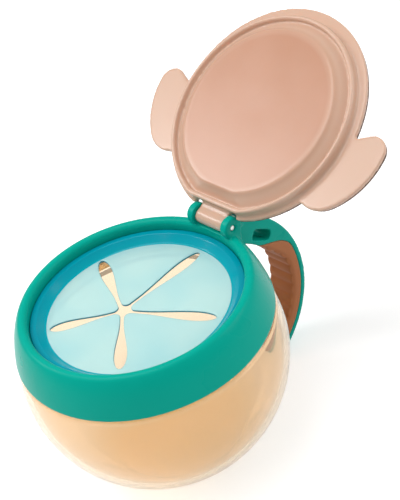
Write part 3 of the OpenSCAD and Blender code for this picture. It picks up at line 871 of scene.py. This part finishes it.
def slot_run(k):
    """From the star's middle to the outer end of slot k."""
    return SLOT_REACH * polar(1.0, SLOT_TURN - SLOT_STEP * k) - STAR


def flap_way(k):
    """The direction from FAN through the middle of flap k."""
    return polar(1.0, SLOT_TURN - SLOT_STEP * (k + 0.5))


def slot_half(share):
    """Half-width of a slot, from 0 at the star's middle to 1 at its outer end."""
    if share < SLOT_WIDE_AT:
        swell = rise((share - SLOT_SWELL_AT) / (SLOT_WIDE_AT - SLOT_SWELL_AT))
        return SLOT_NECK_W / 2 + (SLOT_W - SLOT_NECK_W) / 2 * swell
    return SLOT_W / 2 * math.sqrt(max(0.0, 1 - ((share - SLOT_WIDE_AT) / (1 - SLOT_WIDE_AT)) ** 2))


def slot_side(k, side, steps=150):
    """One side of slot k, from the star's middle to the slot's outer end."""
    run = slot_run(k)
    across = Vector((-run.y, run.x)).normalized() * side
    shares = [math.sin(math.pi / 2 * i / steps) for i in range(steps + 1)]
    return [STAR + run * s + across * slot_half(s) for s in shares]


def nearest(line, spot):
    """The number and the place of the point of a line that is nearest to a spot."""
    index = min(range(len(line)), key=lambda i: (line[i] - spot).length_squared)
    return index, line[index]


def nose_middle(k, left, right):
    """The middle of the round nose of flap k, moved until it stands off both of its slots alike."""
    nose = STAR + NOSE_AT * flap_way(k)
    for _ in range(60):
        for line in (left, right):
            away = nose - nearest(line, nose)[1]
            nose = nose + away.normalized() * (NOSE_R - away.length) * 0.7
    return nose


def star_outline():
    """The edge of the star-shaped hole: down each slot and back, and round the nose of each flap."""
    outline = []
    nose_steps = 18
    for k in range(SLOTS):
        left, right = slot_side(k, -1), slot_side(k + 1, 1)
        nose = nose_middle(k, left, right)
        i, first = nearest(left, nose)
        j, last = nearest(right, nose)
        outline += left[i:][::-1]
        a, b = first - nose, last - nose
        turn = a.angle_signed(b)
        if (nose + Matrix.Rotation(-turn / 2, 2) @ a - STAR).length > (nose - STAR).length:
            turn -= math.copysign(math.tau, turn)
        outline += [nose + Matrix.Rotation(-turn * n / nose_steps, 2) @ a for n in range(1, nose_steps)]
        outline += right[j:-1]
    return outline


def resampled(loop, spacing):
    """The same closed loop with points at an even spacing."""
    lengths = [(loop[(i + 1) % len(loop)] - loop[i]).length for i in range(len(loop))]
    total = sum(lengths)
    count = round(total / spacing)
    points, i, run = [], 0, 0.0
    for n in range(count):
        target = total * n / count
        while run + lengths[i] < target:
            run += lengths[i]
            i += 1
        share = (target - run) / lengths[i] if lengths[i] else 0.0
        points.append(loop[i].lerp(loop[(i + 1) % len(loop)], share))
    return points


def offset(loop, distance):
    """The loop moved sideways, to the right of its direction."""
    moved = []
    for i, spot in enumerate(loop):
        ahead = (loop[(i + 1) % len(loop)] - loop[i - 1]).normalized()
        moved.append(spot + Vector((ahead.y, -ahead.x)) * distance)
    return moved


def area(loop):
    """The area in a closed loop, above zero where the loop runs anticlockwise."""
    return sum(a.x * b.y - a.y * b.x for a, b in zip(loop, loop[1:] + loop[:1])) / 2


def search_tree(spots):
    """A tree that finds the nearest of some flat spots."""
    tree = KDTree(len(spots))
    for i, spot in enumerate(spots):
        tree.insert(spot.to_3d(), i)
    tree.balance()
    return tree


def flat_net(star):
    """Points and triangles over the whole disc, which keep to the star's edge, the rim and the folds."""
    points, edges = [], []

    def draw(line, closed=False):
        first = len(points)
        points.extend(line)
        edges.extend((first + i, first + i + 1) for i in range(len(line) - 1))
        if closed:
            edges.append((first + len(line) - 1, first))

    draw(star, closed=True)
    for distance in EDGE_LINES:
        draw(offset(star, distance), closed=True)
    draw([polar(DISC_R, 360.0 * i / RIM_POINTS) - FAN for i in range(RIM_POINTS)], closed=True)
    for k in range(SLOTS):
        way = flap_way(k)
        side = Vector((-way.y, way.x))
        for distance in FOLD_LINES:
            reach = SPLIT_AT - distance
            half = reach * math.tan(math.radians(SLOT_STEP / 2))
            shares = [i / FOLD_HALF_POINTS - 1 for i in range(2 * FOLD_HALF_POINTS + 1)]
            draw([way * reach + side * half * share for share in shares])
    drawn = search_tree(points)
    for row in range(-GRID_HALF, GRID_HALF + 1):
        for column in range(-GRID_HALF, GRID_HALF + 1):
            spot = Vector(((column + (row % 2) / 2) * GRID_PITCH, row * GRID_PITCH * GRID_ROW))
            in_rim = (spot + FAN).length < DISC_R - GRID_CLEAR
            if in_rim and drawn.find(spot.to_3d())[2] > GRID_CLEAR:
                points.append(spot)
    found = delaunay_2d_cdt(points, edges, [], 0, 1e-5)
    return found[0], found[2]


def in_loop(spot, corners):
    """Whether a spot is in a closed loop: then a line from it crosses the loop an odd number of times."""
    ahead = np.roll(corners, -1, axis=0)
    spans = (corners[:, 1] > spot.y) != (ahead[:, 1] > spot.y)
    slope = (ahead[:, 0] - corners[:, 0]) / np.where(spans, ahead[:, 1] - corners[:, 1], 1.0)
    crossing = corners[:, 0] + slope * (spot.y - corners[:, 1])
    return bool((spans & (spot.x < crossing)).sum() % 2)


def piece_at(spot):
    """Which piece of the sheet a spot is on: SLOTS for the rim beyond the folds, or else the flap whose two
    slots it lies deepest between."""
    turn = (SLOT_TURN - math.degrees(math.atan2(spot.y, spot.x))) % 360.0
    if spot.dot(flap_way(int(turn // SLOT_STEP))) >= SPLIT_AT:
        return SLOTS
    out = spot - STAR

    def depth(k):
        left, right = slot_run(k), slot_run(k + 1)
        return min(out.x * left.y - out.y * left.x, out.y * right.x - out.x * right.y)

    return max(range(SLOTS), key=depth)


def thick_sheet(flat, faces, edge_tree):
    """A closed piece of the sheet from its flat triangles, with its cut edge rounded: its points, its faces,
    and the number of the first of the faces that stand along its border."""
    used = sorted({i for face in faces for i in face})
    index = {old: new for new, old in enumerate(used)}
    top, bottom = [], []
    for i in used:
        spot = flat[i]
        gap = edge_tree.find(spot.to_3d())[2]
        gap = 0.0 if gap < EDGE_TOUCH else gap
        bend = 1 - math.sqrt(max(0.0, 1 - (1 - min(1.0, gap / EDGE_ROUND)) ** 2))
        top.append((spot.x + FAN.x, spot.y + FAN.y, DISC_TOP - EDGE_ROUND * bend))
        bottom.append((spot.x + FAN.x, spot.y + FAN.y, DISC_Z + EDGE_ROUND * bend))
    count = len(used)
    upper = [tuple(index[i] for i in face) for face in faces]
    lower = [tuple(i + count for i in reversed(face)) for face in upper]
    borders = {}
    for a, b, c in upper:
        for edge in ((a, b), (b, c), (c, a)):
            key = tuple(sorted(edge))
            borders[key] = None if key in borders else edge
    walls = [(b, a, a + count, b + count) for a, b in filter(None, borders.values())]
    return top + bottom, upper + lower + walls, len(upper) + len(lower)


def sheet_piece(name, sheet, edge_tree):
    """One piece of the sheet, with its cut edge and its joints to other pieces in materials of their own."""
    points, faces, walls_from = sheet
    piece = place(name, mesh_of(name, points, faces))
    for material in (SHEET, EDGE, JOINT):
        piece.data.materials.append(material)
    borders = set()
    for i, face in enumerate(piece.data.polygons):
        face.use_smooth = True
        if i >= walls_from:
            borders.update(face.edge_keys)
        spots = [points[v] for v in face.vertices]
        on_rim = min(math.hypot(x, y) for x, y, z in spots) > DISC_R - 0.01
        near = max(edge_tree.find((x - FAN.x, y - FAN.y, 0.0))[2] for x, y, z in spots)
        face.material_index = 1 if near < EDGE_BAND else 2 if i >= walls_from and not on_rim else 0
    for edge in piece.data.edges:
        edge.use_edge_sharp = edge.key in borders
    return piece


star = resampled(star_outline(), EDGE_SPACING)
if area(star) < 0:
    star.reverse()
star_corners = np.array([tuple(spot) for spot in star])
star_edge = search_tree([
    spot.lerp(star[(i + 1) % len(star)], n / 4) for i, spot in enumerate(star) for n in range(4)])
flat, triangles = flat_net(star)
groups = [[] for _ in range(SLOTS + 1)]
for triangle in triangles:
    middle = (flat[triangle[0]] + flat[triangle[1]] + flat[triangle[2]]) / 3
    if (middle + FAN).length <= DISC_R and not in_loop(middle, star_corners):
        groups[piece_at(middle)].append(tuple(triangle))
sheets = [thick_sheet(flat, group, star_edge) for group in groups]

finish_piece(guard_ring, "collar", ["guard_ring"], RING)
rim_sheet = sheet_piece("guard_sheet", sheets[SLOTS], star_edge)
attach(rim_sheet, "collar")
for k in range(SLOTS):
    flap = sheet_piece(f"flap_{k + 1}_sheet", sheets[k], star_edge)
    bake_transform(flap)
    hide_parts(f"flap_{k + 1}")


# Lid, its outer panel and the hinge pin

lid = moulded("lid", "lid_moulding", 0.45, 5)
finish_piece(lid, "lid", ["lid"], LID)


def eased_panel():
    """The outer panel with its long edges eased."""
    piece = place("lid_panel_skin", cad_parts["lid_panel"].data.copy())
    piece.data.materials.clear()
    soup = bmesh.new()
    soup.from_mesh(piece.data)
    bmesh.ops.remove_doubles(soup, verts=soup.verts, dist=MERGE)
    bmesh.ops.dissolve_limit(soup, angle_limit=math.radians(1.0), verts=soup.verts, edges=soup.edges)
    sharp = [e for e in soup.edges if e.calc_face_angle(0.0) > math.radians(60.0)]
    bmesh.ops.bevel(soup, geom=sharp, offset=0.25 * MM, segments=3, profile=0.5, affect="EDGES",
                    clamp_overlap=True)
    soup.to_mesh(piece.data)
    soup.free()
    return tidy(piece, sharp=40.0)


finish_piece(eased_panel(), "lid", ["lid_panel"], PANEL)


def wire_pin():
    """The pin: a short wire with slightly domed, cropped ends."""
    profile = [(0.0, -PIN_HALF)]
    profile += [(PIN_R * 0.7, -PIN_HALF + 0.03), (PIN_R * 0.9, -PIN_HALF + 0.12), (PIN_R, -PIN_HALF + 0.3)]
    profile += [(r, -z) for r, z in reversed(profile)]
    steps = 40
    points, faces = [], []
    for i in range(steps):
        t = math.tau * i / steps
        points += [(PIN_X + r * math.cos(t), z, PIN_Z + r * math.sin(t)) for r, z in profile]
    count = len(profile)
    for i in range(steps):
        for j in range(count - 1):
            k = (i + 1) % steps
            faces.append((i * count + j, i * count + j + 1, k * count + j + 1, k * count + j))
    return tidy(place("hinge_pin_wire", mesh_of("hinge_pin_wire", points, faces)), sharp=50.0, outward=True)


finish_piece(wire_pin(), "collar", ["hinge_pin"], PIN)


# Floor, light and camera

def white_floor():
    """White paper sweep: plain and matt. To the camera, in reflections and through the cup it is lifted to
    white, and it still takes the object's shadow."""
    material, tree = finish_of("white_paper_matt")
    path = add(tree, "ShaderNodeLightPath")
    seen = add(tree, "ShaderNodeMath", {
        0: path.outputs["Is Camera Ray"], 1: path.outputs["Is Glossy Ray"]}, operation="MAXIMUM")
    seen = add(tree, "ShaderNodeMath", {
        0: seen.outputs[0], 1: path.outputs["Is Transmission Ray"]}, operation="MAXIMUM")
    lift = add(tree, "ShaderNodeMath", {0: seen.outputs[0], 1: 0.5}, operation="MULTIPLY")
    paper = add(tree, "ShaderNodeBsdfDiffuse", {"Color": paint("#e6e6e6")})
    glow = add(tree, "ShaderNodeEmission", {"Strength": lift.outputs[0]})
    both = add(tree, "ShaderNodeAddShader", {0: paper.outputs[0], 1: glow.outputs[0]})
    add(tree, "ShaderNodeOutputMaterial", {0: both.outputs[0]})
    return material


FLOOR_HALF = 2500.0
FLOOR_Z = -0.1
floor = place("floor", mesh_of("floor", [
    (-FLOOR_HALF, -FLOOR_HALF, FLOOR_Z), (FLOOR_HALF, -FLOOR_HALF, FLOOR_Z),
    (FLOOR_HALF, FLOOR_HALF, FLOOR_Z), (-FLOOR_HALF, FLOOR_HALF, FLOOR_Z)], [(0, 1, 2, 3)]))
floor.data.materials.append(white_floor())

world = bpy.data.worlds.new("studio")
bpy.context.scene.world = world
world.use_nodes = True
sky = world.node_tree
sky.nodes.clear()
path = add(sky, "ShaderNodeLightPath")
seen = add(sky, "ShaderNodeMath", {
    0: path.outputs["Is Camera Ray"], 1: path.outputs["Is Transmission Ray"]}, operation="MAXIMUM")
level = add(sky, "ShaderNodeMapRange", {"Value": seen.outputs[0], "To Min": 0.5, "To Max": 1.0})
dimmed = add(sky, "ShaderNodeMapRange", {
    "Value": path.outputs["Is Glossy Ray"], "To Min": 1.0, "To Max": 0.5})
strength = add(sky, "ShaderNodeMath", {0: level.outputs[0], 1: dimmed.outputs[0]}, operation="MULTIPLY")
glow = add(sky, "ShaderNodeBackground", {"Color": (1.0, 1.0, 1.0, 1.0), "Strength": strength.outputs[0]})
add(sky, "ShaderNodeOutputWorld", {0: glow.outputs[0]})


def softbox(name, spot, aim, size, power):
    """A square lamp that faces a point, with its places and size in metres and its power in watts."""
    data = bpy.data.lights.new(name, "AREA")
    data.shape = "SQUARE"
    data.size = size
    data.energy = power
    lamp = bpy.data.objects.new(name, data)
    bpy.context.scene.collection.objects.link(lamp)
    lamp.location = spot
    lamp.rotation_euler = (Vector(aim) - Vector(spot)).to_track_quat("-Z", "Y").to_euler()


softbox("top_softbox", (-0.2, 0.15, 1.0), (0.0, 0.0, 0.04), 0.7, 5.0)
softbox("side_softbox", (0.6, -0.5, 0.45), (0.02, 0.0, 0.04), 0.5, 1.8)
softbox("back_softbox", (-0.28, 0.525, 0.58), (0.05, 0.0, 0.08), 0.24, 1.5)

# The camera, as fitted to the photograph: its place in millimetres, and which way its right and its up point
CAMERA_AT = (-171.31, -295.18, 333.88)
CAMERA_RIGHT = (0.6931, -0.6833, -0.2296)
CAMERA_UP = (0.5659, 0.3184, 0.7605)
lens = bpy.data.cameras.new("photo_camera")
lens.sensor_width = 36.0
lens.lens = 97.7
lens.clip_start = 0.01
camera = bpy.data.objects.new("photo_camera", lens)
bpy.context.scene.collection.objects.link(camera)
right = Vector(CAMERA_RIGHT).normalized()
up = Vector(CAMERA_UP)
up = (up - right * up.dot(right)).normalized()
turned = Matrix((right, up, right.cross(up))).transposed().to_4x4()
camera.matrix_world = Matrix.Translation(Vector(CAMERA_AT) * MM) @ turned
bpy.context.scene.camera = camera
bpy.context.scene.view_settings.view_transform = "Standard"
